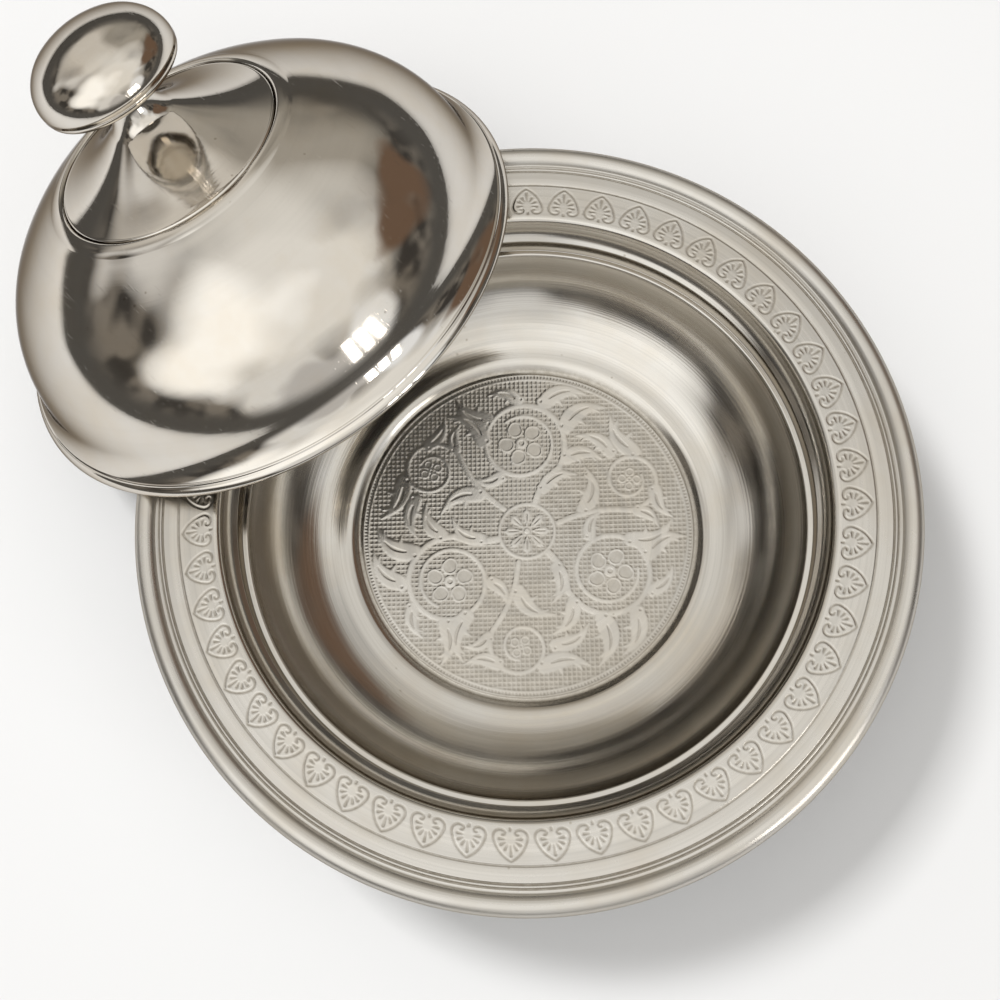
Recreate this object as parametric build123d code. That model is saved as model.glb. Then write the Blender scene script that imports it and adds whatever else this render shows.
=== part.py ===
from build123d import *
from math import cos, radians, sin
import os

# Covered serving bowl for turkish delight, spun from plated sheet brass.
# Frame: millimetres, +Z up, origin on the table at the bowl's axis. The lid is
# off: it leans on the bowl's rim on the -X side, its lower edge on the table.

# --- bowl, heights above the table ---
SHEET = 1.1                         # thickness of the spun sheet
FLOOR_R, FLOOR_Z = 37.0, 8.3        # flat floor
RING_R, RING_Z = 42.0, 9.7          # soft ring at the foot of the wall
WALL_R, WALL_Z = 58.6, 25.5         # top of the curved wall
SEAT_Z = 26.1                       # seat for the lid's lip
COLLAR_R, COLLAR_Z = 59.9, 30.3     # collar that centres the lid
NOSE_R, NOSE_Z = 62.2, 34.1         # rounded inner nose of the rim
RIM_IN_R, RIM_Z = 63.4, 35.4        # flat rim, inner edge and height
GROOVE_IN_R = 74.7                  # groove at the foot of the rolled edge
SCORED = [(70.78, 0.35, 0.12), (74.07, 0.42, 0.3)]   # ring cuts in the rim: radius, width, depth
ROLL_C_R, ROLL_C_Z = 77.85, 33.7    # centre of the rolled edge
ROLL_R = 2.4
CURL_END = -110                     # degrees round the roll where the curl ends

# --- foot ring ---
FOOT_T = 1.1
FOOT_IN_R, FOOT_NECK_R = 31.5, 36.0
FOOT_R = 40.0                       # outer radius of its flat base

# --- lid, heights above the plane of its lower edge ---
LID_T = 1.0
LIP_R, LIP_Z = 59.4, 0.8            # outside of the turned lip
EDGE_R, EDGE_IN_R = 59.0, 57.7      # flat lower edge
FLANGE_R, FLANGE_Z = 57.8, 2.6      # foot of the flared flange
WAIST_R, WAIST_Z = 54.9, 8.0        # waist under the shoulder
RIDGE_R, RIDGE_Z = 49.3, 20.6       # fine ridge between shoulder and dome
CROWN_R, CROWN_Z = 24.5, 36.3       # flat crown that carries the skirt
BEAD_H = 1.1                        # height of the bead round the crown
BEAD_END_R, BEAD_END_Z = 26.22, 37.23   # where the bead runs into the dome
HOLE_R = 2.2                        # clearance hole for the stud

# --- skirt: the trumpet on the dome, up to the neck under the knob ---
SKIRT_T = 1.0
SKIRT_R = 24.25
NECK_R = 4.6

# --- knob ---
KNOB_T = 0.9
KNOB_R, KNOB_Z = 14.75, 56.0        # rim of the cup
KNOB_FLAT_R, KNOB_LOW_Z = 5.2, 51.5 # flat that stands on the neck
SEAM_Z = 56.4                       # seam between cup and cap
CAP_R, CAP_TOP_Z = 14.9, 66.2       # the cap laps the cup by a fine step

# --- stud, washer and nut that hold the knob ---
STUD_R, STUD_HEAD_R, STUD_HEAD_T = 2.0, 4.5, 1.6
STUD_LOW_Z = 29.5
WASHER_R, WASHER_T = 6.0, 1.0
NUT_AF, NUT_T = 7.0, 3.2

# --- rest pose of the lid ---
LID_TILT = 25.6                     # top leans away from the bowl
LID_X = -81.75                      # axis of the lid at its lower edge
LID_Z = (EDGE_R + 0.03) * sin(radians(LID_TILT))


def polar(r, z, size, degrees):
    """Point at an angle round a centre in the (radius, height) plane."""
    return r + size * cos(radians(degrees)), z + size * sin(radians(degrees))


def smooth_arcs(start, tangent, *points):
    """Chain of arcs through the points, each tangent to the one before."""
    arcs = []
    for point in points:
        arcs.append(TangentArc(start, point, tangent=tangent))
        start, tangent = point, arcs[-1] % 1
    return arcs


def spin(outline):
    """Solid of revolution about Z from a closed (radius, height) outline."""
    return revolve(Plane.XZ * make_face(outline), Axis.Z)


def spun_sheet(lines, thickness, side=Side.RIGHT):
    """Spun sheet metal: the visible line, thickened towards the hidden side."""
    band = offset(Wire(lines), amount=thickness, side=side, closed=True)
    return spin(band.edges())


def turned(points):
    """Solid of revolution from a closed polygon of (radius, height) corners."""
    return spin(Polyline(*points, close=True).edges())


def ring_cut(r, z, width, depth):
    """Cutter for a V groove round a flat face at height z."""
    return turned([(r, z - depth), (r + width, z + depth), (r - width, z + depth)])


# ---------------------------------------------------------------------------
# Bowl shell: floor, curved wall, seat and collar, flat rim, rolled edge
# ---------------------------------------------------------------------------
roll_foot = polar(ROLL_C_R, ROLL_C_Z, ROLL_R, 150)
bowl_shell = spun_sheet([
    Line((0, FLOOR_Z), (FLOOR_R, FLOOR_Z)),
    ThreePointArc((FLOOR_R, FLOOR_Z), (39.3, 9.3), (RING_R, RING_Z)),
    *smooth_arcs((RING_R, RING_Z), (1, 0.02), (WALL_R, WALL_Z)),
    ThreePointArc((WALL_R, WALL_Z), (WALL_R + 0.2, SEAT_Z - 0.1), (WALL_R + 0.6, SEAT_Z)),
    Line((WALL_R + 0.6, SEAT_Z), (COLLAR_R, SEAT_Z)),
    Line((COLLAR_R, SEAT_Z), (COLLAR_R, COLLAR_Z)),
    ThreePointArc((COLLAR_R, COLLAR_Z), (61.5, 31.9), (NOSE_R, NOSE_Z)),
    ThreePointArc((NOSE_R, NOSE_Z), (62.55, 35.0), (RIM_IN_R, RIM_Z)),
    Line((RIM_IN_R, RIM_Z), (GROOVE_IN_R, RIM_Z)),
    ThreePointArc((GROOVE_IN_R, RIM_Z), (75.1, 34.98), roll_foot),
    ThreePointArc(roll_foot, polar(ROLL_C_R, ROLL_C_Z, ROLL_R, 15),
                  polar(ROLL_C_R, ROLL_C_Z, ROLL_R, CURL_END)),
], SHEET)
for r, width, depth in SCORED:
    bowl_shell -= ring_cut(r, RIM_Z, width, depth)

# ---------------------------------------------------------------------------
# Foot ring: soldered under the floor, flared to a flat base on the table
# ---------------------------------------------------------------------------
foot_top = FLOOR_Z - SHEET
foot_ring = spun_sheet([
    Line((FOOT_IN_R, foot_top), (FOOT_NECK_R - 1.2, foot_top)),
    ThreePointArc((FOOT_NECK_R - 1.2, foot_top), (FOOT_NECK_R - 0.35, foot_top - 0.35),
                  (FOOT_NECK_R, foot_top - 1.2)),
    ThreePointArc((FOOT_NECK_R, foot_top - 1.2), (FOOT_NECK_R + 0.9, 2.6),
                  (FOOT_R - 1.4, FOOT_T)),
    Line((FOOT_R - 1.4, FOOT_T), (FOOT_R, FOOT_T)),
], FOOT_T)

# ---------------------------------------------------------------------------
# Lid shell: crown, bead, dome, ridge, shoulder, flared flange, turned lip
# ---------------------------------------------------------------------------
lid_shell = spun_sheet([
    Line((HOLE_R, CROWN_Z), (CROWN_R, CROWN_Z)),
    *smooth_arcs((CROWN_R, CROWN_Z), (0, 1), (CROWN_R + BEAD_H, CROWN_Z + BEAD_H),
                 (BEAD_END_R, BEAD_END_Z), (42.6, 27.4), (RIDGE_R, RIDGE_Z)),
    ThreePointArc((RIDGE_R, RIDGE_Z), (49.75, 20.35), (49.8, 19.8)),
    ThreePointArc((49.8, 19.8), (52.7, 14.4), (WAIST_R, WAIST_Z)),
    ThreePointArc((WAIST_R, WAIST_Z), (55.95, 5.1), (FLANGE_R, FLANGE_Z)),
    ThreePointArc((FLANGE_R, FLANGE_Z), (58.15, 2.5), (58.3, 2.15)),
    ThreePointArc((58.3, 2.15), (59.0, 1.6), (LIP_R, LIP_Z)),
    ThreePointArc((LIP_R, LIP_Z), (59.35, 0.25), (EDGE_R, 0)),
    Line((EDGE_R, 0), (EDGE_IN_R, 0)),
], LID_T)

# ---------------------------------------------------------------------------
# Finial skirt: trumpet that stands on the crown and narrows to the neck
# ---------------------------------------------------------------------------
skirt_z = CROWN_Z + SKIRT_T
finial_skirt = spun_sheet([
    Line((NECK_R, KNOB_LOW_Z), (NECK_R, KNOB_LOW_Z - 1.5)),
    *smooth_arcs((NECK_R, KNOB_LOW_Z - 1.5), (0, -1), (6.9, 45.6), (SKIRT_R - 1.6, skirt_z)),
    Line((SKIRT_R - 1.6, skirt_z), (SKIRT_R, skirt_z)),
], SKIRT_T)

# ---------------------------------------------------------------------------
# Knob: spun cup below, domed cap above, meeting in a fine stepped seam
# ---------------------------------------------------------------------------
knob_cup = spun_sheet([
    Line((KNOB_R, SEAM_Z), (KNOB_R, KNOB_Z)),
    *smooth_arcs((KNOB_R, KNOB_Z), (0, -1), (13.9, 54.9), (KNOB_FLAT_R, KNOB_LOW_Z)),
    Line((KNOB_FLAT_R, KNOB_LOW_Z), (HOLE_R, KNOB_LOW_Z)),
], KNOB_T)
knob_cap = spun_sheet([
    *smooth_arcs((0, CAP_TOP_Z), (1, 0), (10.4, 63.7), (13.6, 61.0), (CAP_R, SEAM_Z + 0.8)),
    Line((CAP_R, SEAM_Z + 0.8), (CAP_R, SEAM_Z)),
], KNOB_T)

# ---------------------------------------------------------------------------
# Stud with its head inside the knob, washer and hexagon nut under the crown
# ---------------------------------------------------------------------------
head_z = KNOB_LOW_Z + KNOB_T
knob_stud = turned([(0, STUD_LOW_Z), (STUD_R - 0.4, STUD_LOW_Z), (STUD_R, STUD_LOW_Z + 0.5),
                    (STUD_R, head_z), (STUD_HEAD_R, head_z), (STUD_HEAD_R, head_z + STUD_HEAD_T),
                    (0, head_z + STUD_HEAD_T)])
washer_z = CROWN_Z - LID_T - WASHER_T
stud_washer = turned([(HOLE_R, washer_z), (WASHER_R, washer_z),
                      (WASHER_R, washer_z + WASHER_T), (HOLE_R, washer_z + WASHER_T)])
nut_blank = extrude(RegularPolygon(NUT_AF / 2, 6, major_radius=False), NUT_T)
nut_round = chamfer(extrude(Circle(NUT_AF / 3 ** 0.5), NUT_T).edges(), 0.5)
stud_nut = Pos(0, 0, washer_z - NUT_T) * (nut_blank & nut_round) - Cylinder(STUD_R + 0.05, 200)

# ---------------------------------------------------------------------------
# Place the lid's pieces in the rest pose and write the parts
# ---------------------------------------------------------------------------
lid_rest = Location((LID_X, 0, LID_Z), (0, -LID_TILT, 0))
nodes = {
    "bowl_shell": bowl_shell,
    "foot_ring": foot_ring,
    "lid_shell": lid_rest * lid_shell,
    "finial_skirt": lid_rest * finial_skirt,
    "knob_cup": lid_rest * knob_cup,
    "knob_cap": lid_rest * knob_cap,
    "knob_stud": lid_rest * knob_stud,
    "stud_washer": lid_rest * stud_washer,
    "stud_nut": lid_rest * stud_nut,
}
os.makedirs("parts", exist_ok=True)
for name, solid in nodes.items():
    export_step(solid, f"parts/{name}.step")
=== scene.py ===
import math
import bpy
import numpy as np
from mathutils import Euler, Matrix, Vector


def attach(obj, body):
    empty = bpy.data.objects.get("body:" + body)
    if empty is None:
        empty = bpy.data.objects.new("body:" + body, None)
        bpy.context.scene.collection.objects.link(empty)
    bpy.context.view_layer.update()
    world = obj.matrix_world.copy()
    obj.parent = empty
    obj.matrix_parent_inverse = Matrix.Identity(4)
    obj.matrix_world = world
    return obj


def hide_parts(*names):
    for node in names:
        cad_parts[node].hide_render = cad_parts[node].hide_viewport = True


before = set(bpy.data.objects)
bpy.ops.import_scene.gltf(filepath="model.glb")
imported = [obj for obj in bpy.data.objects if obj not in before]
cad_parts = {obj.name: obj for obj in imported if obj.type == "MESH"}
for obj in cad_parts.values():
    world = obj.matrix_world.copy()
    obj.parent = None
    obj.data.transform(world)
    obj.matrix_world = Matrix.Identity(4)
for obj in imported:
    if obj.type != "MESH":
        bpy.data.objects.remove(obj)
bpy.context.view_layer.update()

# --- Bowl shell ------------------------------------------------------------------------------
# A dish spun from one sheet of brass and nickel plated: engraved round in the floor, curved
# wall, seat and collar for the lid, a flat rim with a punched band of hearts, and an edge
# rolled over to stiffen it. Its sizes are in millimetres.
MM = 0.001
BOWL_SHEET = 1.1


def bend(start, middle, end, step=0.25):
    """Points on the arc from start through middle to end, about a step apart."""
    (ax, ay), (bx, by), (cx, cy) = start, middle, end
    d = 2 * (ax * (by - cy) + bx * (cy - ay) + cx * (ay - by))
    a2, b2, c2 = ax * ax + ay * ay, bx * bx + by * by, cx * cx + cy * cy
    ux = (a2 * (by - cy) + b2 * (cy - ay) + c2 * (ay - by)) / d
    uy = (a2 * (cx - bx) + b2 * (ax - cx) + c2 * (bx - ax)) / d
    first = math.atan2(ay - uy, ax - ux)
    half = (math.atan2(by - uy, bx - ux) - first + math.pi) % math.tau - math.pi
    rest = (math.atan2(cy - uy, cx - ux) - first - half + math.pi) % math.tau - math.pi
    radius = math.hypot(ax - ux, ay - uy)
    turn = half + rest
    angles = first + np.linspace(0, turn, max(4, int(abs(turn) * radius / step)))
    return np.column_stack([ux + radius * np.cos(angles), uy + radius * np.sin(angles)])


def shaped_line(start, *moves):
    """A line of straight runs and arcs: a point is run to, a pair bends through its first."""
    line = [np.array([start], float)]
    for move in moves:
        if np.ndim(move) == 1:
            line.append(np.array([move], float))
        else:
            line.append(bend(line[-1][-1], *move)[1:])
    return np.concatenate(line)


def soften(line, radius, step=0.05):
    """Rounds every corner of a line by about the radius, as spinning over a former does."""
    length = np.concatenate([[0], np.cumsum(np.hypot(*np.diff(line, axis=0).T))])
    even = np.linspace(0, length[-1], int(length[-1] / step))
    points = np.column_stack([np.interp(even, length, line[:, i]) for i in (0, 1)])
    reach = max(1, int(radius / step))
    weights = np.hanning(2 * reach + 3)[1:-1]
    weights /= weights.sum()
    padded = np.concatenate([2 * points[0] - points[reach:0:-1], points,
                             2 * points[-1] - points[-2:-reach - 2:-1]])
    return np.column_stack([np.convolve(padded[:, i], weights, "valid") for i in (0, 1)])


def thin_out(line, turn, gap):
    """Drops points of a dense line, but keeps one wherever it has turned by some degrees or
    run on by the gap."""
    heading = np.unwrap(np.arctan2(*np.diff(line, axis=0).T[::-1]))
    kept, last = [0], 0
    for i in range(1, len(line) - 1):
        turned = abs(heading[i] - heading[last])
        if turned > math.radians(turn) or np.hypot(*(line[i] - line[last])) > gap:
            kept.append(i)
            last = i
    return line[kept + [len(line) - 1]]


def hidden_side(line, sheet):
    """The other face of a sheet, back to the start of its visible face, which runs outwards or
    downwards along the line."""
    along = np.gradient(line, axis=0)
    along /= np.hypot(*along.T)[:, None]
    other = line + sheet * np.column_stack([along[:, 1], -along[:, 0]])
    near = np.array([np.hypot(*(line - p).T).min() for p in other])
    kept = other[near > 0.97 * sheet]               # drops the loops inside tight bends
    kept[:, 0] = np.maximum(kept[:, 0], 0)
    return thin_out(kept, turn=8, gap=4)[::-1]


def closer(line, low, high, step):
    """Sets evenly spaced points into the part of an outward line between two radii."""
    before, after = line[line[:, 0] < low], line[line[:, 0] > high]
    radii = np.arange(low, high, step)
    return np.concatenate([before, np.column_stack([radii, np.interp(radii, *line.T)]), after])


def lathe(name, line, steps, stands=Matrix(), relief=None):
    """Spins a closed (radius, height) line into a mesh that stands where it is told. steps
    gives each ring's count of points: its neighbour's, or that times or over a whole number.
    relief works the points and says how hollow each then lies."""
    rings, points, total = [], [], 0
    for (r, z), n in zip(line, steps):
        on_axis = r < 1e-6
        n = 1 if on_axis else int(n)
        turn = np.arange(n) * math.tau / n
        points.append(np.column_stack([r * np.cos(turn), r * np.sin(turn), np.full(n, z)]))
        rings.append(np.arange(total, total + n))
        total += n
    points = np.concatenate(points)
    hollow = np.zeros(total)
    if relief is not None:
        points, hollow = relief(points)
    corners, sizes = [], []
    for a, b in zip(rings, rings[1:] + rings[:1]):
        faces, most = sorted((len(a), len(b)))
        if most == 1:                               # both on the axis: no face between them
            continue
        if faces == 1:                              # a fan round a point on the axis
            faces = most
        each = np.arange(faces)
        sides = []
        for ring, order in ((a, -1), (b, 1)):
            hop = len(ring) // faces                # more than 1 on the closer set ring
            hops = range(hop + 1)[::order] if hop else [0]
            sides += [ring[(hop * each + i) % len(ring)] for i in hops]
        polygon = np.column_stack(sides)
        corners.append(polygon.ravel())
        sizes.append(np.full(faces, polygon.shape[1]))
    corners, sizes = np.concatenate(corners), np.concatenate(sizes)
    mesh = bpy.data.meshes.new(name)
    mesh.vertices.add(total)
    mesh.loops.add(len(corners))
    mesh.loops.foreach_set("vertex_index", corners)
    mesh.polygons.add(len(sizes))
    mesh.polygons.foreach_set("loop_start", np.concatenate([[0], np.cumsum(sizes)[:-1]]))
    mesh.polygons.foreach_set("use_smooth", np.ones(len(sizes), bool))
    turned_at = mesh.attributes.new("turned_at", "FLOAT_VECTOR", "POINT")
    turned_at.data.foreach_set("vector", (points * MM).ravel())
    mesh.attributes.new("hollow", "FLOAT", "POINT").data.foreach_set("value", hollow)
    stood = np.array(stands)
    placed = points * MM @ stood[:3, :3].T + stood[:3, 3]
    mesh.vertices.foreach_set("co", placed.ravel())
    mesh.update(calc_edges=True)
    piece = bpy.data.objects.new(name, mesh)
    bpy.context.collection.objects.link(piece)
    return piece


def inside(x, y, path, half):
    """How deep points lie inside a stroke of a given half width, less than 0 outside it."""
    far_out, margin = -9.0, 1.0
    path = np.asarray(path, float)
    half = np.broadcast_to(half, len(path))
    deep = np.full(np.shape(x), far_out)
    for (ax, ay), (bx, by), wa, wb in zip(path, path[1:], half, half[1:]):
        reach = max(wa, wb) + margin
        near = ((x > min(ax, bx) - reach) & (x < max(ax, bx) + reach)
                & (y > min(ay, by) - reach) & (y < max(ay, by) + reach))
        px, py, dx, dy = x[near] - ax, y[near] - ay, bx - ax, by - ay
        t = np.clip((px * dx + py * dy) / (dx * dx + dy * dy), 0, 1)
        part = wa + t * (wb - wa) - np.hypot(px - t * dx, py - t * dy)
        deep[near] = np.maximum(deep[near], part)
    return deep


def edged(deep, slope):
    """Turns depth inside a stroke into 0 to 1, with a sloping edge."""
    return np.clip(deep / slope + 0.5, 0, 1)


HEARTS = 52
HEART_FOOT_R, HEART_BAND_R = 64.0, 70.35     # their feet, and where their band ends
# the band is set out by hand, so it starts a little turned and its pitch drifts round the rim
BAND_TURN, BAND_DRIFT, DRIFT_FROM = 0.7, 0.92, 8
HEART_LEAN = 0.08                       # sideways for each millimetre outwards
HEART_DEPTH, HEART_BURR = 0.13, 0.03
# half of a heart: distance from its middle line, and outwards from its foot
HEART_OUTLINE = shaped_line((0, 5.95), ((1.95, 4.45), (3.25, 1.9)),
                            ((2.55, 0.3), (1.15, 0.35)), ((1.0, 0.85), (1.5, 1.1)))
HEART_TONGUE = ((0, 0.3), (0, -0.1))
HEART_BOSS = (0.0, 1.95)
FINGERS = ((0, 2.95), (31, 2.15), (62, 2.1), (93, 2.1))     # lean and reach from the boss


def heart_cut(x, y):
    """The punched heart: outline that curls in at its foot, seven fingers and a tongue. Both
    halves are struck alike, and the punch raises a low burr inside the outline."""
    pitch = 360 / HEARTS
    turn = np.degrees(np.arctan2(y, x))
    at = turn - BAND_TURN - BAND_DRIFT * np.sin(np.radians(turn + DRIFT_FROM))
    out = np.hypot(x, y) - HEART_FOOT_R
    along = np.radians((at + pitch / 2) % pitch - pitch / 2) * (out + HEART_FOOT_R)
    along = np.abs(along - HEART_LEAN * out)
    line = inside(along, out, HEART_OUTLINE, half=0.17)
    pits = [inside(along, out, HEART_TONGUE, half=0.2)]
    for lean, reach in FINGERS:
        toward = np.array([math.sin(math.radians(lean)), math.cos(math.radians(lean))])
        finger = [HEART_BOSS + 1.1 * toward, HEART_BOSS + reach * toward]
        pits.append(inside(along, out, finger, half=[0.08, 0.26]))
    cut = edged(np.maximum.reduce([line] + pits), slope=0.2)
    within = (out > 0.2) & (out < 5.6 - 1.1 * along) & (along < 3.0)
    burr = np.exp(-((line + 0.3) / 0.14) ** 2) * within
    return -HEART_DEPTH * cut + HEART_BURR * burr, cut


ROUND_R = 36.9
ROUND_DEPTH, ROUND_TURN = 0.17, 14      # depth of its ground, and degrees it is turned by
BORDER_R, BORDER_NICKS = 36.1, 300
NET_PITCH = 1.02
GREAT_EYE, LESSER_EYE = (20.6, 1.2), (14.2, 21.8)
# each leaf: start, heading, length, bow and width
LEAVES = (((13.6, 5.4), 100, 7.0, 1.5, 1.4), ((19.8, 9.8), 50, 11.0, -2.6, 1.9),
          ((26.4, 7.7), 60, 10.0, 2.0, 1.9), ((29.8, 1.4), 74, 8.0, -1.6, 1.4),
          ((29.0, -3.2), -74, 11.0, 2.3, 1.9), ((23.0, -8.4), -60, 11.5, 2.6, 2.1),
          ((16.2, -8.2), -88, 9.0, 1.9, 1.7), ((20.2, 23.6), -36, 8.0, -1.5, 1.5),
          ((13.1, 28.4), 155, 11.0, 1.9, 1.9), ((8.2, 24.5), 178, 9.5, -1.9, 1.6),
          ((8.0, 9.7), 112, 10.5, -2.4, 1.8), ((8.8, -3.4), -62, 9.0, 2.0, 1.5),
          ((18.6, 15.8), -4, 6.5, 1.3, 1.3))
LEAF_LOBES = ((5, 34, 0.5), (2, 62, 0.36))      # place on the spine, turn and length
LOBE_TAPER = np.array([0.6, 0.7, 0.66, 0.56, 0.44, 0.32, 0.2, 0.06])


def bowed(start, end, bow, count):
    """A line of some points that bows to its left on the way from start to end."""
    (ax, ay), (bx, by) = start, end
    t = np.linspace(0, 1, count)
    side = 4 * bow * t * (1 - t) / math.hypot(bx - ax, by - ay)
    return np.column_stack([ax + (bx - ax) * t - (by - ay) * side,
                            ay + (by - ay) * t + (bx - ax) * side])


def away(start, heading, reach):
    """The point that lies some way from start, at a heading in degrees."""
    return (start[0] + reach * math.cos(math.radians(heading)),
            start[1] + reach * math.sin(math.radians(heading)))


def scroll(eye, wide, narrow, first, turned, count=44):
    """A line that winds in round an eye, through some degrees."""
    t = np.linspace(0, 1, count)
    reach, heading = wide + (narrow - wide) * t ** 0.8, np.radians(first + turned * t)
    return np.column_stack([eye[0] + reach * np.cos(heading), eye[1] + reach * np.sin(heading)])


def leaf(u, v, start, heading, length, bow, width):
    """A bowed leaf with a side lobe and a curled heel. Its vein comes second."""
    count = 14
    spine = bowed(start, away(start, heading, length), bow, count)
    t, side = np.linspace(0, 1, count), -np.sign(bow)
    raised = [inside(u, v, spine, 0.16 + width * np.sin(math.pi * t ** 0.55))]
    for at, turned, reach in LEAF_LOBES:
        way = math.degrees(math.atan2(*(spine[at + 1] - spine[at])[::-1])) + side * turned
        tip = away(spine[at], way, reach * length)
        lobe = bowed(spine[at], tip, -side * 0.1 * length, len(LOBE_TAPER))
        raised.append(inside(u, v, lobe, LOBE_TAPER * width))
    heel = away(start, heading - 75 * side, 0.5 * width + 0.6)
    ball = np.hypot(u - heel[0], v - heel[1])
    raised.append(0.4 * width + 0.3 - ball)
    vein = inside(u, v, spine[3:10], 0.08 + 0.24 * np.sin(math.pi * np.linspace(0.1, 1, 7)))
    return np.maximum.reduce(raised), np.maximum(vein, 0.15 * width - ball)


def flower(u, v, eye, petals, reach):
    """A flower of hollowed petals round a button."""
    from_eye = np.hypot(u - eye[0], v - eye[1])
    raised, veins = [0.26 * reach - from_eye], []
    wide = reach * 2.0 / petals
    for petal in range(petals):
        way = 360 / petals * petal + 20
        spine = [away(eye, way, 0.3 * reach), away(eye, way + 5, 0.62 * reach),
                 away(eye, way + 2, reach - 0.75 * wide)]
        shape = inside(u, v, spine, [0.1, 0.85 * wide, 0.75 * wide])
        raised.append(shape)
        veins.append(np.minimum(shape - 0.42, 0.2))
    return np.maximum.reduce(raised), np.maximum(np.maximum.reduce(veins), 0.1 * reach - from_eye)


def round_cut(x, y):
    """The engraved round: three great scrolls that wind round flowers, three lesser ones that
    wind the other way, and leaves, on a ground cut away to a fine net, in a milled border."""
    r, turn = np.hypot(x, y), np.arctan2(y, x)
    raised, veins = [], []
    for third in range(3):
        way = math.radians(120 * third + ROUND_TURN)
        u, v = x * math.cos(way) + y * math.sin(way), y * math.cos(way) - x * math.sin(way)
        great = scroll(GREAT_EYE, wide=10.4, narrow=6.2, first=-125, turned=520)
        lesser = scroll(LESSER_EYE, wide=7.2, narrow=3.0, first=300, turned=470)
        stem = bowed((6.4, -1.8), great[0], bow=0.9, count=8)
        twig = bowed((5.2, 5.2), lesser[0], bow=1.2, count=8)
        raised += [inside(u, v, great, np.linspace(0.75, 0.4, len(great))),
                   inside(u, v, lesser, np.linspace(0.6, 0.35, len(lesser))),
                   inside(u, v, stem, half=0.8), inside(u, v, twig, half=0.65)]
        ornaments = [flower(u, v, GREAT_EYE, petals=5, reach=5.4),
                     flower(u, v, LESSER_EYE, petals=4, reach=2.6)]
        ornaments += [leaf(u, v, *sizes) for sizes in LEAVES]
        for shape, cut in ornaments:
            raised.append(shape)
            veins.append(cut)
    # rosette of eight petals, with a button, a ring round it and the ring inside the border
    eighth = (turn + math.pi / 8) % (math.pi / 4) - math.pi / 8
    pu, pv = r * np.cos(eighth), r * np.sin(eighth)
    petal = [(1.4, 0), (3.0, 0), (4.0, 0), (5.0, 0)]
    raised += [inside(pu, pv, petal, half=[0.25, 0.8, 0.9, 0.2]),
               1.1 - r, 0.45 - np.abs(r - 6.2), 0.3 - np.abs(r - 35.9)]
    veins += [inside(pu, pv, [(1.9, 0), (4.0, 0)], half=0.14), 0.14 - np.abs(r - 0.75)]
    across, up = (x + y) / math.sqrt(2), (y - x) / math.sqrt(2)
    net = np.maximum(np.abs(np.cos(math.pi * across / NET_PITCH)),
                     np.abs(np.cos(math.pi * up / NET_PITCH))) ** 5
    milled = 0.13 * np.cos(turn * BORDER_NICKS / 2) ** 2
    ground = -ROUND_DEPTH + np.where(r > BORDER_R, milled, 0.1 * net)
    deep = np.maximum.reduce(raised)
    top = edged(deep, slope=0.16)
    rounded = -0.05 * np.exp(-(deep / 0.3) ** 2)
    veined = rounded - 0.1 * edged(np.maximum.reduce(veins), slope=0.14)
    lift = ground * (1 - top) + veined * top
    return lift, np.clip(-lift / 0.2, 0, 1)


PLAIN_STEPS = HEARTS * 8                # points round a plain ring
HEART_STEPS = HEARTS * 40
ROUND_STEPS = PLAIN_STEPS * 3
bowl_line = shaped_line(
    (0, 8.3), (37.1, 8.3),                                      # floor
    ((37.83, 8.4), (38.5, 8.69)), ((39.8, 9.29), (41.2, 9.59)),     # soft ring round it
    ((43.92, 10.12), (46.5, 11.11)), ((54.07, 17.02), (58.6, 25.5)),    # wall
    ((58.8, 26.0), (59.2, 26.1)), (59.9, 26.1),                 # seat for the lid
    (59.9, 30.3), ((61.5, 31.9), (62.2, 34.1)),                 # collar
    ((62.55, 35.0), (63.4, 35.4)), (74.7, 35.4),                # nose and flat rim
    ((75.1, 34.98), (75.77, 34.9)),                             # groove
    ((80.17, 34.32), (77.03, 31.44)))                           # rolled edge
bowl_smooth = soften(bowl_line, radius=0.2)
bowl_seen = thin_out(bowl_smooth, turn=4, gap=1.5)
# worked parts of the face need closer rings: the round, the band of hearts, the scored rings
for low, high, step in ((0.18, ROUND_R + 2.6, 0.18), (HEART_FOOT_R - 0.4, 71.2, 0.16),
                        (73.5, 75.5, 0.08)):
    bowl_seen = closer(bowl_seen, low, high, step)
# and more points round them, but fewer again near the middle, where the rings are small
bowl_steps = np.full(len(bowl_seen), PLAIN_STEPS)
for limit, over in ((ROUND_R, 1), (18, 2), (9, 4), (4.5, 8), (2.2, 16), (1.0, 48)):
    bowl_steps[bowl_seen[:, 0] < limit] = ROUND_STEPS // over
in_band = (bowl_seen[:, 0] > HEART_FOOT_R - 0.5) & (bowl_seen[:, 0] < HEART_BAND_R + 0.1)
bowl_steps[in_band] = HEART_STEPS
seen_points = 1 + bowl_steps[1:].sum()      # the first ring is one point, on the axis
# rings round the face: radius, width, and height or depth
RING_LINES = ((37.0, 0.2, 0.12), (37.9, 0.9, -0.3), (70.28, 0.18, 0.09), (70.78, 0.17, -0.2),
              (74.06, 0.15, -0.32), (74.5, 0.16, 0.05), (74.98, 0.16, -0.3))


def bowl_relief(points):
    """Scores, punches and engraves the seen face of the bowl."""
    x, y, z = points.T
    r = np.hypot(x, y)
    lift, hollow = np.zeros(len(r)), np.zeros(len(r))
    seen = np.arange(len(r)) < seen_points
    for at, width, height in RING_LINES:
        ring = np.exp(-((r - at) / width) ** 2) * seen
        lift += height * ring
        hollow += ring * (height < 0)
    band = seen & (r > HEART_FOOT_R - 0.4) & (r < HEART_BAND_R)
    lift[band], hollow[band] = heart_cut(x[band], y[band])
    engraved = seen & (r < ROUND_R)
    lift[engraved], hollow[engraved] = round_cut(x[engraved], y[engraved])
    return np.column_stack([x, y, z + lift]), hollow


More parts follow.
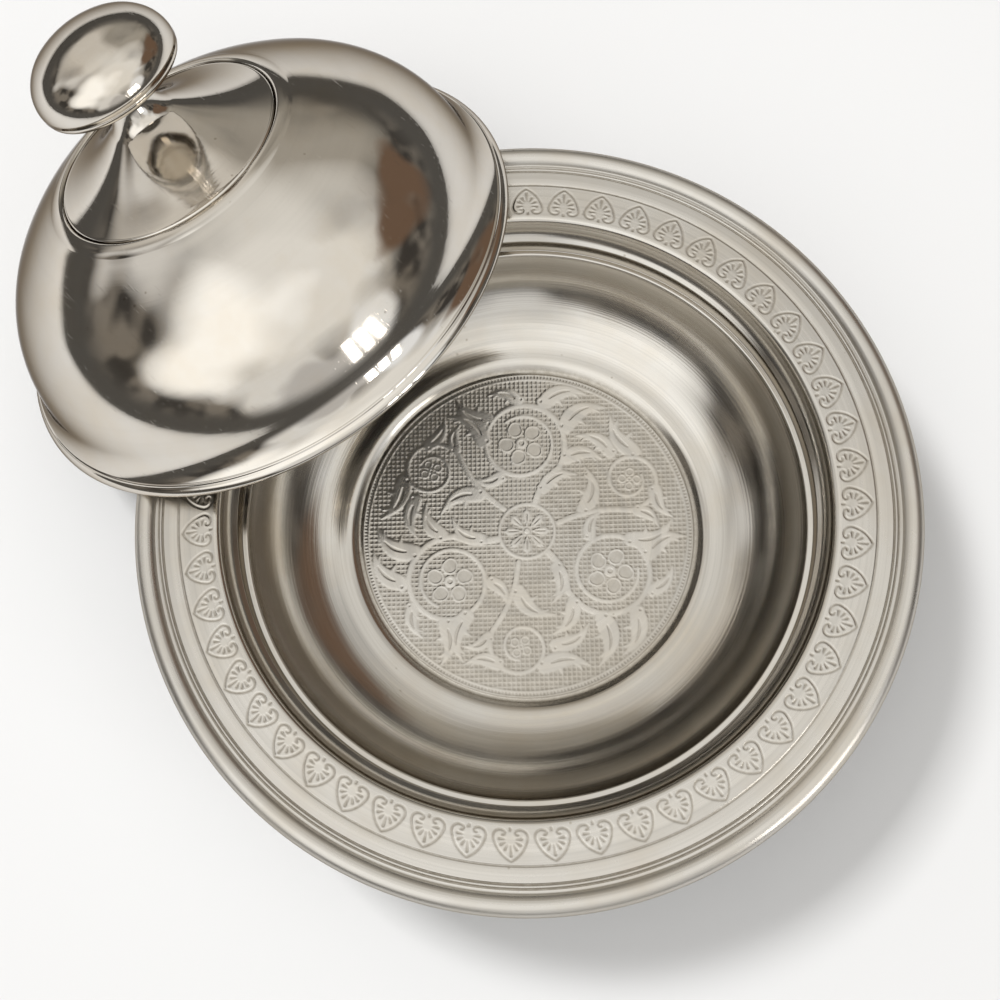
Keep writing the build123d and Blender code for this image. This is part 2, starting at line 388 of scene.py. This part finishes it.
bowl_under = hidden_side(bowl_smooth, BOWL_SHEET)
bowl = lathe("bowl_dish", np.concatenate([bowl_seen, bowl_under]),
             [*bowl_steps, *[PLAIN_STEPS] * len(bowl_under)], relief=bowl_relief)


def node_bench(tree):
    """The four tools that add shader nodes to a tree: node, spread, shade and product."""
    def node(kind, settings=None, **inputs):
        """Adds a node. An input is named, or is i and its number."""
        made = tree.nodes.new("ShaderNode" + kind)
        for key, value in (settings or {}).items():
            setattr(made, key, value)
        for key, value in inputs.items():
            socket = made.inputs[int(key[1:]) if key[1:].isdigit() else key.replace("_", " ")]
            if isinstance(value, bpy.types.NodeSocket):
                tree.links.new(value, socket)
            else:
                socket.default_value = value
        return made.outputs

    def spread(value, low, high, start=0.0, end=1.0):
        return node("MapRange", Value=value, From_Min=low, From_Max=high,
                    To_Min=start, To_Max=end)[0]

    def shade(amount, a, b):
        return node("Mix", {"data_type": "RGBA"}, i0=amount, i6=a, i7=b)[2]

    def product(a, b):
        return node("Math", {"operation": "MULTIPLY"}, i0=a, i1=b)[0]

    return node, spread, shade, product


# tints of the plate's own colour
WARM, DARKER, DIRTY = (0.95, 0.90, 0.82), (0.76, 0.76, 0.76), (0.60, 0.57, 0.52)
FINE_PITCH, BROAD_PITCH = 0.00045, 0.0022       # of the lathe's marks, in metres
HAIR_STRETCH = (90, 2400, 700)                  # hairlines are long and thin
BUFF_EDGE = 0.0005                              # the buffed part ends within half a millimetre


def plate(name, colour, edge_shade_tint, polish, bloom, rings, grain, lean=0.0, buffed=(1, 1)):
    """Nickel plate over spun brass. It has fine rings from the lathe, hairlines, a cloudy
    bloom, small pits, and dirt that stays in the hollows of the engraving. buffed gives the two
    radii, in metres, between which the plate is brighter polished."""
    finish = bpy.data.materials.new(name)
    finish.use_nodes = True
    tree = finish.node_tree
    shader = tree.nodes["Principled BSDF"]
    shader.inputs["Metallic"].default_value = 1.0
    # specular tint: painted shade that darkens the mirrored room at grazing angles, toward the
    # outlines
    shader.inputs["Specular Tint"].default_value = (*edge_shade_tint, 1)
    shader.inputs["Anisotropic"].default_value = grain
    node, spread, shade, product = node_bench(tree)

    place = node("Attribute", {"attribute_name": "turned_at"})["Vector"]
    hollow = node("Attribute", {"attribute_name": "hollow"})["Fac"]
    flat = node("VectorMath", {"operation": "MULTIPLY"}, i0=place, i1=(1, 1, 0))[0]
    radius = node("VectorMath", {"operation": "LENGTH"}, i0=flat)["Value"]
    outward = node("VectorMath", {"operation": "NORMALIZE"}, i0=flat)[0]
    across = node("Math", i0=radius, i1=node("SeparateXYZ", Vector=place)["Z"])[0]

    def lathe_marks(pitch, detail):
        """Noise that runs in rings round the lathe's axis, a little uneven along each ring."""
        at = node("CombineXYZ", Z=product(across, 1 / pitch))[0]
        at = node("VectorMath", {"operation": "MULTIPLY_ADD"},
                  i0=outward, i1=(0.6, 0.6, 0), i2=at)[0]
        return node("TexNoise", Vector=at, Scale=1.0, Detail=detail)["Fac"]

    def tinted(tint):
        """The plate's colour, tinted."""
        return (*(part * share for part, share in zip(colour, tint)), 1)

    # roughness: haze, streaks from the lathe, a brighter buffed part and dull dirt
    fine, broad = lathe_marks(FINE_PITCH, detail=4.0), lathe_marks(BROAD_PITCH, detail=2.0)
    cloud = node("TexNoise", Vector=place, Scale=42.0, Detail=6.0, Roughness=0.62)["Fac"]
    hazy = spread(cloud, 0.40, 0.72, polish, polish + bloom)
    marked = product(spread(broad, 0.3, 0.7, -0.5, 0.5), 0.25 * polish)
    streaked = node("Math", i0=hazy, i1=marked)[0]
    buff = product(spread(radius, buffed[0], buffed[0] + BUFF_EDGE),
                   spread(radius, buffed[1], buffed[1] + BUFF_EDGE, 1, 0))
    streaked = product(streaked, spread(buff, 0, 1, 1, 0.5))
    grime = spread(node("TexNoise", Vector=place, Scale=900.0, Detail=3.0)["Fac"], 0.3, 0.7, 0.55)
    dirt = product(hollow, grime)
    rough = node("Math", {"operation": "MULTIPLY_ADD"}, i0=dirt, i1=0.15, i2=streaked)[0]
    tree.links.new(rough, shader.inputs["Roughness"])

    # colour: warmer where it is cloudy, darker in rings, pits and dirty hollows
    worn = shade(spread(cloud, 0.45, 0.8), (*colour, 1), tinted(WARM))
    ringed = shade(spread(broad, 0.42, 0.72, 0, rings), worn, tinted(DARKER))
    ringed = shade(spread(fine, 0.5, 0.7, 0, 0.7 * rings), ringed, tinted(DARKER))
    pits = spread(node("TexVoronoi", Vector=place, Scale=260.0)["Distance"], 0.05, 0.09, 0.6, 0.0)
    some = spread(node("TexNoise", Vector=place, Scale=70.0, Detail=1.0)["Fac"], 0.56, 0.62)
    dark = node("Math", {"operation": "MAXIMUM"}, i0=dirt, i1=product(pits, some))[0]
    tree.links.new(shade(dark, ringed, tinted(DIRTY)), shader.inputs["Base Color"])

    # fine relief: rings from the lathe and hairlines, with the grain running round the axis
    stretched = node("VectorMath", {"operation": "MULTIPLY"}, i0=place, i1=HAIR_STRETCH)[0]
    hairs = spread(node("TexNoise", Vector=stretched, Scale=1.0, Detail=2.0)["Fac"], 0.66, 0.72)
    turned = node("Bump", Strength=rings, Distance=0.00004, Height=fine)[0]
    scratched = node("Bump", Strength=0.12, Distance=0.00003, Height=hairs, Normal=turned)[0]
    tree.links.new(scratched, shader.inputs["Normal"])
    along = node("VectorRotate", {"rotation_type": "Y_AXIS"}, Vector=outward, Angle=lean)[0]
    tree.links.new(along, shader.inputs["Tangent"])
    return finish


satin_nickel = plate("satin_nickel", (0.69, 0.665, 0.62), (0.36, 0.32, 0.27), polish=0.26,
                     bloom=0.1, rings=0.5, grain=0.55, buffed=(0.037, 0.0634))
bowl.data.materials.append(satin_nickel)
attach(bowl, "bowl")
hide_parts("bowl_shell")

# --- Foot ring -------------------------------------------------------------------------------
# A short flared ring of the same sheet as the bowl, soldered under its floor. Its flat lip
# bears on the table.
foot_line = shaped_line((31.5, 7.2), (34.8, 7.2), ((35.65, 6.85), (36.0, 6.0)),
                        ((36.9, 2.6), (38.6, 1.1)), (40.0, 1.1))
foot_smooth = soften(foot_line, radius=0.1)
foot_both = np.concatenate([thin_out(foot_smooth, turn=5, gap=2),
                            hidden_side(foot_smooth, BOWL_SHEET)])
foot = lathe("bowl_foot", foot_both, [PLAIN_STEPS // 2] * len(foot_both))
foot.data.materials.append(satin_nickel)
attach(foot, "bowl")
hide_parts("foot_ring")

# --- Lid shell -------------------------------------------------------------------------------
# The domed cover, spun from one sheet and polished bright: flat crown, bead, dome, shoulder,
# flared flange and a lip turned in at the bottom. It leans on the bowl's rim.
LID_SHEET = 1.0
LID_TILT = math.radians(25.6)
LID_AXIS_X = -81.75
LID_EDGE_R = 59.03                      # lower edge, with a hair of play over the table
STUD_HOLE_R = 2.2
lid_stands = (Matrix.Translation(Vector((LID_AXIS_X, 0, LID_EDGE_R * math.sin(LID_TILT))) * MM)
              @ Euler((0, -LID_TILT, 0)).to_matrix().to_4x4())
bright_nickel = plate("bright_nickel", (0.74, 0.705, 0.65), (0.22, 0.19, 0.16), polish=0.05,
                      bloom=0.06, rings=0.12, grain=0.3, lean=-LID_TILT)


def lid_piece(name, cad_name, line, sheet, corner, steps):
    """Spins one sheet piece about the lid's axis and joins it to the lid."""
    smooth = soften(line, corner)
    both = np.concatenate([thin_out(smooth, turn=3, gap=1.2), hidden_side(smooth, sheet)])
    piece = lathe(name, both, [steps] * len(both), stands=lid_stands)
    piece.data.materials.append(bright_nickel)
    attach(piece, "lid")
    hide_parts(cad_name)


lid_line = shaped_line(
    (STUD_HOLE_R, 36.3), (24.5, 36.3),                                  # crown
    ((24.72, 37.08), (25.3, 37.42)), ((26.73, 37.05), (28.0, 36.35)),   # bead
    ((35.55, 32.29), (42.6, 27.4)), ((46.17, 24.22), (49.3, 20.6)),     # dome
    ((52.82, 14.62), (54.9, 8.0)),                                      # shoulder and waist
    ((55.95, 5.1), (57.8, 2.6)), ((58.15, 2.5), (58.3, 2.15)),          # flange
    ((59.0, 1.6), (59.4, 0.8)), ((59.35, 0.25), (59.0, 0.0)), (57.7, 0.0))      # lip
lid_piece("lid_dome", "lid_shell", lid_line, LID_SHEET, corner=0.2, steps=PLAIN_STEPS)

# --- Finial skirt ----------------------------------------------------------------------------
# A small trumpet spun from the same sheet as the lid. Its foot sits on the crown inside the
# bead, and its neck carries the knob.
skirt_line = shaped_line((4.6, 51.5), (4.6, 50.0), ((5.3, 47.6), (6.9, 45.6)),
                         ((14.75, 40.9), (23.9, 37.3)), (24.35, 37.3))
lid_piece("finial_trumpet", "finial_skirt", skirt_line, LID_SHEET, corner=0.15,
          steps=PLAIN_STEPS // 2)

# --- Knob ------------------------------------------------------------------------------------
# Two spun halves soldered at a fine seam: a hollow flared cup below and a low dome above that
# laps it by a fine step.
KNOB_SHEET, KNOB_STEPS = 0.9, PLAIN_STEPS // 2
cup_line = shaped_line((14.75, 56.4), (14.75, 56.0), ((14.51, 55.31), (13.9, 54.9)),
                       ((9.45, 53.46), (5.2, 51.5)), (STUD_HOLE_R, 51.5))
lid_piece("knob_lower", "knob_cup", cup_line, KNOB_SHEET, corner=0.12, steps=KNOB_STEPS)
cap_line = shaped_line((0, 66.2), ((5.35, 65.57), (10.4, 63.7)), ((12.16, 62.53), (13.6, 61.0)),
                       ((14.55, 59.2), (14.9, 57.2)), (14.9, 56.4))
lid_piece("knob_upper", "knob_cap", cap_line, KNOB_SHEET, corner=0.12, steps=KNOB_STEPS)

# --- Stud, washer and nut --------------------------------------------------------------------
# A plated steel stud holds the knob and the trumpet to the crown. Its head lies inside the
# knob, and a washer and a hexagon nut draw it down from under the lid.
STUD_R, THREAD_PITCH, THREAD_DEPTH = 2.0, 0.7, 0.22
THREAD_TOP = 51                         # plain shank above this
NUT_FLATS = 7.0                         # across two flats
plated_steel = plate("plated_steel", (0.62, 0.61, 0.60), (0.6, 0.6, 0.6), polish=0.28,
                     bloom=0.12, rings=0.3, grain=0.0, lean=-LID_TILT)


def fitting(name, cad_name, corners, steps, relief=None):
    """A small turned fitting on the lid's axis, from its (radius, height) corners."""
    piece = lathe(name, np.array(corners, float), [steps] * len(corners), lid_stands, relief)
    piece.data.set_sharp_from_angle(angle=math.radians(35))
    piece.data.materials.append(plated_steel)
    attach(piece, "lid")
    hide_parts(cad_name)


def thread(points):
    """Cuts the stud's thread into its shank."""
    x, y, z = points.T
    turn = (z / THREAD_PITCH - np.arctan2(y, x) / math.tau) % 1
    r = np.hypot(x, y)
    depth = THREAD_DEPTH * np.abs(2 * turn - 1) * ((r > STUD_R - 0.05) & (z < THREAD_TOP))
    scale = np.where(r < STUD_R + 0.05, 1 - depth / STUD_R, 1)
    return np.column_stack([x * scale, y * scale, z]), depth / THREAD_DEPTH


def six_flats(points):
    """Mills the six flats of the nut."""
    x, y, z = points.T
    turn = (np.arctan2(y, x) + math.pi / 6) % (math.pi / 3) - math.pi / 6
    scale = np.minimum(1, NUT_FLATS / 2 / np.cos(turn) / np.hypot(x, y))
    return np.column_stack([x * scale, y * scale, z]), np.zeros(len(z))


stud_head = [(0, 54.0), (4.0, 54.0), (4.5, 53.6), (4.5, 52.4), (STUD_R, 52.4)]
stud_shank = [(STUD_R, z) for z in np.arange(52.3, 29.95, -0.07)]      # ten rings a turn
stud_end = [(1.6, 29.5), (0, 29.5)]
washer_corners = [(STUD_HOLE_R, 34.3), (STUD_HOLE_R, 35.3), (5.85, 35.3), (6.0, 35.1),
                  (6.0, 34.45), (5.85, 34.3)]
nut_corners = [(2.05, 34.3), (3.55, 34.3), (4.05, 33.8), (4.05, 31.6), (3.55, 31.1),
               (2.3, 31.1), (2.05, 31.35)]
fitting("knob_screw", "knob_stud", stud_head + stud_shank + stud_end, steps=48, relief=thread)
fitting("screw_washer", "stud_washer", washer_corners, steps=96)
fitting("screw_nut", "stud_nut", nut_corners, steps=96, relief=six_flats)

# --- Table, light and camera -----------------------------------------------------------------
# A plain pale table top in a softly lit room. The plate mirrors the room's walls, ceiling and
# window, and one lamp throws the shadow. The camera looks down over the bowl.
TABLE_HALF = 12
table_corners = [(-TABLE_HALF, -TABLE_HALF, 0), (TABLE_HALF, -TABLE_HALF, 0),
                 (TABLE_HALF, TABLE_HALF, 0), (-TABLE_HALF, TABLE_HALF, 0)]
table_mesh = bpy.data.meshes.new("table")
table_mesh.from_pydata(table_corners, [], [(0, 1, 2, 3)])
table = bpy.data.objects.new("table", table_mesh)
bpy.context.collection.objects.link(table)
paper = bpy.data.materials.new("white_paper")
paper.use_nodes = True
paper_shader = paper.node_tree.nodes["Principled BSDF"]
paper_shader.inputs["Base Color"].default_value = (0.71, 0.72, 0.735, 1)
paper_shader.inputs["Roughness"].default_value = 0.9
table.data.materials.append(paper)

# soft patches of the room: direction, outer and inner reach in degrees, and colour
ROOM_PATCHES = (
    ((-0.60, 0.42, 0.69), 40, 18, (0.42, 0.39, 0.34, 1)),       # far wall in half shade
    ((-0.82, 0.02, 0.57), 26, 10, (0.72, 0.68, 0.62, 1)),       # cream wall
    ((0.21, -0.11, 0.97), 58, 34, (0.94, 0.92, 0.88, 1)),       # white ceiling
    ((-0.48, -0.61, 0.64), 22, 10, (0.78, 0.76, 0.73, 1)),      # pale wall
    ((0.67, -0.51, 0.54), 26, 18, (0.86, 0.85, 0.83, 1)),       # pale wall over the door
    ((0.02, -0.50, 0.87), 35, 14, (1.34, 1.33, 1.30, 1)),       # lit part of the ceiling
    ((0.79, 0.22, 0.57), 23, 12, (0.98, 1.00, 1.03, 1)),        # wall round the window
    ((0.92, -0.18, 0.34), 20, 8, (0.60, 0.59, 0.58, 1)),        # pale cloth
    ((0.18, 0.84, 0.51), 18, 7, (0.17, 0.11, 0.075, 1)))        # brown shelf
SHADE, HALF_SHADE = (0.055, 0.05, 0.045, 1), (0.24, 0.215, 0.185, 1)
BACKDROP = (0.10, 0.095, 0.088, 1)      # plain, below the patches
STIR = 0.36                             # how far the patches' edges wander

room = bpy.data.worlds.new("studio")
bpy.context.scene.world = room
room.use_nodes = True
node, spread, shade = node_bench(room.node_tree)[:3]
where = node("TexCoord")["Generated"]
wander = node("TexNoise", Vector=where, Scale=2.2, Detail=0.6)["Color"]
stirred = node("VectorMath", {"operation": "MULTIPLY_ADD"}, i0=wander, i1=(STIR,) * 3, i2=where)[0]
things = node("TexNoise", Vector=where, Scale=4.5, Detail=1.5, Roughness=0.5)["Fac"]
glow = shade(spread(things, 0.42, 0.60), SHADE, HALF_SHADE)
for toward, outer, inner, colour in ROOM_PATCHES:
    toward = Vector(toward).normalized()
    near = node("VectorMath", {"operation": "DOT_PRODUCT"}, i0=stirred, i1=toward)["Value"]
    moved = STIR / 2 * sum(toward)      # the stir moves everything by half of itself on average
    patch = spread(near, moved + math.cos(math.radians(outer)),
                   moved + math.cos(math.radians(inner)))
    glow = shade(patch, glow, colour)
level = node("SeparateXYZ", Vector=where)["Z"]
above = node("MapRange", {"interpolation_type": "SMOOTHSTEP"},
             Value=level, From_Min=0.12, From_Max=0.36)[0]
room.node_tree.links.new(shade(above, BACKDROP, glow),
                         room.node_tree.nodes["Background"].inputs["Color"])


def softbox(name, place, width, height, power, colour):
    """A soft light that faces the object."""
    light = bpy.data.lights.new(name, "AREA")
    light.shape = "RECTANGLE"
    light.size, light.size_y, light.energy, light.color = width, height, power, colour
    lamp = bpy.data.objects.new(name, light)
    lamp.location = place
    faces = Vector((-0.02, 0, 0.02)) - Vector(place)
    lamp.rotation_euler = faces.to_track_quat("-Z", "Y").to_euler()
    bpy.context.collection.objects.link(lamp)
    return lamp


PANES, PANE_PITCH = 3, 0.12
for pane in range(PANES):
    softbox("window_pane_%d" % pane, (0.88, -0.02 + PANE_PITCH * pane, 0.46),
            width=0.08, height=0.30, power=0.42, colour=(1, 0.97, 0.93))
key = softbox("key", (-1.25, -0.15, 1.85), width=0.5, height=0.5, power=34,
              colour=(1, 0.985, 0.965))
key.visible_glossy = False              # the plate mirrors the room, not the lamp

CAMERA_PLACE = (0.046343, -0.036325, 0.27149)
CAMERA_TURN = (13.962, 3.068, 44.062)   # degrees about X, Y and Z
lens = bpy.data.cameras.new("camera")
lens.sensor_width = 36
lens.lens = 43.2
lens.clip_start = 0.01
camera = bpy.data.objects.new("camera", lens)
camera.location = CAMERA_PLACE
camera.rotation_euler = [math.radians(angle) for angle in CAMERA_TURN]
bpy.context.collection.objects.link(camera)
bpy.context.scene.camera = camera
bpy.context.scene.view_settings.view_transform = "Standard"
